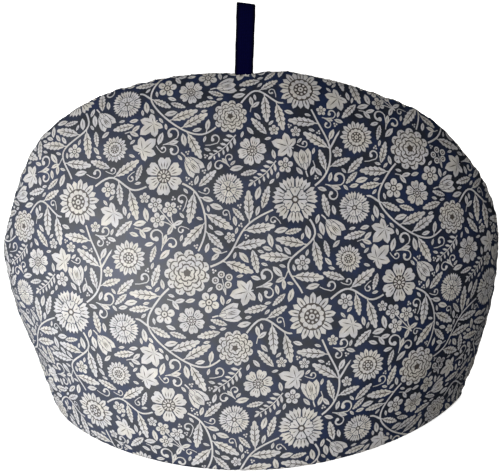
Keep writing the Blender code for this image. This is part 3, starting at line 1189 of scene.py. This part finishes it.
def tape_line(tape):
    """The tape's middle line, as distances front to back and up from the ridge, in millimetres."""
    inner_half = (TAPE_LEGS_APART_MM + tape.thickness / MM) / 2
    rise, foot = tape.rise / MM, -TAPE_SEWN_IN_MM
    foot_steps, steps = 4, 72
    front_end = [(-inner_half, foot * (1 - i / foot_steps)) for i in range(foot_steps)]
    loop = []
    for i in range(steps + 1):
        turn = 2 * math.pi * i / steps
        out = inner_half * math.cos(turn / 2) + TAPE_BELLY_MM * math.sin(turn) * math.sin(turn / 2) ** 2
        loop.append((-out, rise * (1 - math.cos(turn)) / 2))
    return np.array(front_end + loop + [(-y, z) for y, z in reversed(front_end)])


def tape_mesh(tape):
    """The tape as a closed ribbon, its two woven edges a little thicker and not quite straight."""
    line = tape_line(tape)
    along = np.gradient(line, axis=0)
    along /= np.linalg.norm(along, axis=-1, keepdims=True)
    length = np.concatenate([[0], np.cumsum(np.linalg.norm(np.diff(line, axis=0), axis=-1))])
    half_width, half_thick = tape.width / MM / 2, tape.thickness / MM / 2
    outline = ribbon_outline(half_width, half_thick)
    rise = tape.rise / MM
    points, cloth = [], []
    for (y, z), (ay, az), run in zip(line, along, length):
        above = max(z, 0.0)
        for side, thick in outline:
            edge = (abs(side) / half_width) ** 6
            waver = 0.012 * math.sin(run / 3.1) + 0.008 * math.sin(run / 1.3 + side)
            aside = side * (1 + waver * edge)
            cup = TAPE_CUP_MM * (side / half_width) ** 2 * (above / rise)
            outwards = math.copysign(1.0, y) if abs(y) > 0.01 else 0.0
            py = y + (thick + cup * outwards) * -az
            pz = z + thick * ay
            x = TAPE_CENTRE_MM + aside + above * math.tan(tape.lean)
            pz = SEAM_RIDGE + pz - TAPE_FOLD_SLANT * aside * (above / rise) ** 2
            points.append((x * MM, py * MM, pz * MM))
            cloth.append((aside + half_width, run))
    count = len(outline)
    faces = []
    for i in range(len(line) - 1):
        for k in range(count):
            a, b = i * count + k, i * count + (k + 1) % count
            faces.append((a, b, b + count, a + count))
    faces.append(tuple(range(count))[::-1])
    faces.append(tuple(range((len(line) - 1) * count, len(line) * count)))
    mesh = bpy.data.meshes.new("tape_loop_cloth")
    mesh.from_pydata(points, [], faces)
    mesh.shade_smooth()
    lay_cloth(mesh, cloth)
    return mesh, float(length[-1]) * MM


def ribbon_outline(half_width, half_thick):
    """The tape's cross section, with rounded edges that are a touch thicker than its middle."""
    upper = []
    steps = 12
    for k in range(steps + 1):
        angle = math.pi * k / steps
        side = half_width * math.cos(angle)
        fat = half_thick * (abs(math.sin(angle)) ** 0.35) * (0.9 + 0.1 * abs(math.cos(angle)) ** 3)
        upper.append((side, fat))
    lower = [(side, -fat) for side, fat in upper[1:-1]]
    return upper + lower[::-1]


def add_object(name, data):
    """Puts a new object in the scene."""
    obj = bpy.data.objects.new(name, data)
    bpy.context.scene.collection.objects.link(obj)
    return obj


def length_property(name, description, default, shortest=0.0):
    """A length setting, in metres."""
    return FloatProperty(name=name, description=description, default=default, min=shortest, unit="LENGTH")


def angle_property(name, description, degrees):
    """An angle setting that starts from a number of degrees."""
    return FloatProperty(name=name, description=description, default=math.radians(degrees), subtype="ANGLE")


def power_property(name, description, watts):
    """A lamp's power, in watts."""
    return FloatProperty(name=name, description=description, default=watts, min=0.0, unit="POWER")


def colour_property(name, description, sheet_hex):
    """A colour setting that starts from an sRGB hex colour."""
    return FloatVectorProperty(
        name=name,
        description=description,
        subtype="COLOR",
        default=linear_colour(sheet_hex),
        min=0,
        max=1,
    )


class CosySizes(bpy.types.PropertyGroup):
    """Sizes of the two panels and of their cloth's unevenness."""

    hem_front: length_property("Front depth", "From the seam to the front of the hem", HEM_FRONT, 0.03)
    hem_back: length_property("Back depth", "From the seam to the back of the hem", HEM_BACK, 0.03)
    wall: length_property("Wall", "Cover, wadding and inner cloth together", 0.007)
    roll: length_property("Edge roll", "How softly the cloth turns over at the hem and the seam", 0.0022)
    pucker: length_property("Pucker height", "Height of the puckers along the seam", 0.00055)
    pucker_reach: length_property("Pucker reach", "How far puckers run in from the seam", 0.011)
    lump: length_property("Lumps", "Height of the wadding's soft lumps", 0.00035)


class ClothSettings(bpy.types.PropertyGroup):
    """Colours and weave of the printed cotton."""

    ground: colour_property("Ground", "Navy of the printed ground", "#0A2147")
    other_ground: colour_property("Ground, greyer", "Ground where the ink took greyer", "#151C29")
    cream: colour_property("Cream", "Unprinted cream of the flowers", "#D3CFC6")
    other_cream: colour_property("Cream, cooler", "Cream where the cloth is cooler", "#CCCBCD")
    line: colour_property("Line", "Soft grey brown of the inner lines", "#463F3A")
    reverse: colour_property("Reverse", "The plain inside of the cosy", "#8D929B")
    yarn: length_property("Yarn spacing", "Distance between yarns", 0.0007, 0.0001)
    tone_patch: length_property("Tone patches", "Size of lighter and darker patches of ink", 0.006, 0.001)
    hue_patch: length_property("Hue patches", "Size of patches where the ink's hue changes", 0.016, 0.001)


class TapeSettings(bpy.types.PropertyGroup):
    """Size, lean and colour of the tape loop."""

    width: length_property("Width", "Width of the tape", 0.012, 0.003)
    thickness: length_property("Thickness", "Thickness of the tape", 0.0012, 0.0003)
    rise: length_property("Rise", "Height of the fold above the seam's ridge", 0.0429, 0.01)
    lean: angle_property("Lean", "How far the loop leans", 3.4)
    rib: length_property("Rib spacing", "Distance between the tape's cross ribs", 0.0009, 0.0001)
    colour: colour_property("Colour", "Dark navy dye", "#020224")


class StageSettings(bpy.types.PropertyGroup):
    """The paper, the lights and the camera."""

    paper: colour_property("Paper", "Pale floor and backdrop", "#F4F4F2")
    key: power_property("Window light", "Power of the soft light at the front left", 18.0)
    table: power_property("Table light", "Power of what a white table throws up in front", 0.8)
    table_left: power_property("Table light, left", "Power of what it throws up at the left", 0.9)
    side: power_property("Side light", "Power of the soft light at the left", 2.4)
    fill: power_property("Fill light", "Power of the weak light at the right", 5.8)
    back: power_property("Back light", "Power of the soft light behind the cosy", 14.0)
    floor: power_property("Floor light", "Power of the light high at the back", 45.0)
    ambient: FloatProperty(name="Ambient", description="Strength of the even light all round", default=0.02)
    distance: length_property("Camera distance", "From the lens to the middle of the cosy", 0.6, 0.1)
    elevation: angle_property("Camera height", "Angle above the table", 20)
    roll: angle_property("Camera roll", "Tilt of the picture", 1.5)


# Each lamp's power is the setting that bears its name. glossy: whether the cloth's gloss shows it.
Lamp = namedtuple("Lamp", "name place size tint glossy")
LAMPS = (
    Lamp("key", (-0.80, -1.08, 0.34), 0.55, "#FFFEFD", True),
    Lamp("table", (-0.15, -0.55, -0.12), 0.5, "#FFFFFF", True),
    Lamp("table_left", (-0.55, -0.08, -0.12), 0.4, "#F3F8FF", True),
    Lamp("side", (-1.25, 0.12, 0.45), 0.9, "#F3F8FF", True),
    Lamp("fill", (1.35, -0.85, 0.2), 1.2, "#FFFEFD", False),
    Lamp("back", (0.2, 1.35, 0.25), 1.0, "#FFFFFF", False),
    Lamp("floor", (0.0, 3.0, 2.1), 3.0, "#FFFFFF", False),
)
LAMPS_AIM = Vector((0.0, 0.0, 0.1))
WORLD_TINT = "#FBFCFF"
SENSOR_MM = 36.0
LENS_REACH = 1.71  # the view is 1/1.71 as wide as it is far
LENS_SHIFT = 0.023  # share of the picture's width


class COSY_OT_panels(bpy.types.Operator):
    """Builds the two wadded, printed panels in place of their plain solids"""

    bl_idname = "cosy.panels"
    bl_label = "Build the panels"

    def execute(self, context):
        scene = context.scene
        cloth = scene.cosy_cloth
        inks = [
            printed_cotton("printed_cotton_ground", cloth.ground, cloth.other_ground, cloth),
            printed_cotton("printed_cotton_cream", cloth.cream, cloth.other_cream, cloth),
            printed_cotton("printed_cotton_line", cloth.line, cloth.line, cloth),
            printed_cotton("cotton_reverse", cloth.reverse, cloth.reverse, cloth),
        ]
        repeat = Repeat()
        for plan in PANELS:
            body = PanelBody(plan, scene.cosy_sizes)
            mesh = printed_mesh(body, repeat)
            for material in inks:
                mesh.materials.append(material)
            obj = add_object(f"{plan.name}_panel_cloth", mesh)
            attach(obj, "root")
            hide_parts(f"{plan.name}_panel")
        return {"FINISHED"}


class COSY_OT_loop(bpy.types.Operator):
    """Builds the tape loop in the top of the seam"""

    bl_idname = "cosy.loop"
    bl_label = "Build the tape loop"

    def execute(self, context):
        tape = context.scene.cosy_tape
        mesh, length = tape_mesh(tape)
        mesh.materials.append(tape_cotton("navy_cotton_tape", tape))
        obj = add_object("tape_loop_cloth", mesh)
        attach(obj, "root")
        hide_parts("hanging_loop")
        return {"FINISHED"}


class COSY_OT_stage(bpy.types.Operator):
    """Adds the pale floor, the soft lights and the camera"""

    bl_idname = "cosy.stage"
    bl_label = "Build the stage"

    def execute(self, context):
        stage = context.scene.cosy_stage
        self.add_cove(stage)
        self.add_lights(context.scene, stage)
        self.add_camera(context.scene, stage)
        return {"FINISHED"}

    def add_cove(self, stage):
        """A round floor of paper that sweeps up into a wall all round."""
        floor_radius, bend, wall_top = 2.0, 3.0, 5.0
        sides, bend_steps = 64, 10
        quarter = [math.pi / 2 * k / bend_steps for k in range(bend_steps + 1)]
        profile = [(floor_radius + bend * math.sin(turn), bend * (1 - math.cos(turn))) for turn in quarter]
        profile.append((floor_radius + bend, wall_top))
        points, faces = [], []
        for reach, z in profile:
            for k in range(sides):
                turn = 2 * math.pi * k / sides
                points.append((reach * math.cos(turn), reach * math.sin(turn), z))
        for row in range(len(profile) - 1):
            low = list(range(row * sides, (row + 1) * sides))
            faces += quads_between(low, [v + sides for v in low])
        faces.append(tuple(range(sides)))
        mesh = bpy.data.meshes.new("paper_cove")
        mesh.from_pydata(points, [], faces)
        mesh.shade_smooth()
        mesh.materials.append(matt_paper("matt_white_paper", stage.paper))
        cove = add_object("paper_cove", mesh)
        # The paper throws nothing back by itself. The low lamps shine through it and do that instead.
        cove.visible_glossy = False
        cove.visible_diffuse = False
        cove.visible_shadow = False

    def add_lights(self, scene, stage):
        """Soft round lights that no camera sees, all turned to the middle of the cosy."""
        for lamp in LAMPS:
            light = bpy.data.lights.new(f"{lamp.name}_light", "AREA")
            light.shape = "DISK"
            light.size = lamp.size
            light.energy = getattr(stage, lamp.name)
            light.color = linear_colour(lamp.tint)
            obj = add_object(f"{lamp.name}_light", light)
            obj.location = lamp.place
            obj.rotation_euler = (LAMPS_AIM - obj.location).to_track_quat("-Z", "Y").to_euler()
            obj.visible_camera = False
            obj.visible_glossy = lamp.glossy
        world = bpy.data.worlds.new("soft_studio")
        world.use_nodes = True
        background = world.node_tree.nodes["Background"]
        background.inputs["Color"].default_value = rgba(linear_colour(WORLD_TINT))
        background.inputs["Strength"].default_value = stage.ambient
        scene.world = world
        scene.view_settings.view_transform = "Standard"

    def add_camera(self, scene, stage):
        """The camera looks down on the cosy from the front, held a little out of level."""
        target = Vector((0.0, 0.0, SEAM_RIDGE / 2 * MM))
        back = Vector((0.0, -math.cos(stage.elevation), math.sin(stage.elevation)))
        right = Vector((1.0, 0.0, 0.0))
        up = right.cross(-back)
        c, s = math.cos(stage.roll), math.sin(stage.roll)
        x_axis = c * right - s * up
        y_axis = s * right + c * up
        place = target + stage.distance * back
        data = bpy.data.cameras.new("camera")
        data.sensor_width = SENSOR_MM
        data.lens = data.sensor_width * LENS_REACH
        data.shift_y = LENS_SHIFT
        camera = add_object("camera", data)
        axes = Matrix((x_axis, y_axis, back)).transposed().to_4x4()
        camera.matrix_world = Matrix.Translation(place) @ axes
        scene.camera = camera


class COSY_PT_sidebar(bpy.types.Panel):
    """The sidebar's tab, with the three build steps and every setting"""

    bl_label = "Tea Cosy"
    bl_space_type = "VIEW_3D"
    bl_region_type = "UI"
    bl_category = "Tea Cosy"

    def draw(self, context):
        for operator in (COSY_OT_panels, COSY_OT_loop, COSY_OT_stage):
            self.layout.operator(operator.bl_idname)
        for name in SETTINGS:
            group = getattr(context.scene, name)
            box = self.layout.box()
            for prop in group.bl_rna.properties:
                if prop.identifier not in {"rna_type", "name"}:
                    box.prop(group, prop.identifier)


SETTINGS = {
    "cosy_sizes": CosySizes,
    "cosy_cloth": ClothSettings,
    "cosy_tape": TapeSettings,
    "cosy_stage": StageSettings,
}
CLASSES = (*SETTINGS.values(), COSY_OT_panels, COSY_OT_loop, COSY_OT_stage, COSY_PT_sidebar)


def register():
    """Adds the settings, the operators and the panel."""
    for cls in CLASSES:
        bpy.utils.register_class(cls)
    for name, group in SETTINGS.items():
        setattr(bpy.types.Scene, name, PointerProperty(type=group))


def unregister():
    """Takes them away again."""
    for name in SETTINGS:
        delattr(bpy.types.Scene, name)
    for cls in reversed(CLASSES):
        bpy.utils.unregister_class(cls)


def main():
    """Builds the cosy: its two printed panels, the tape loop and the stage."""
    register()
    bpy.ops.cosy.panels()
    bpy.ops.cosy.loop()
    bpy.ops.cosy.stage()


if __name__ == "__main__":
    main()
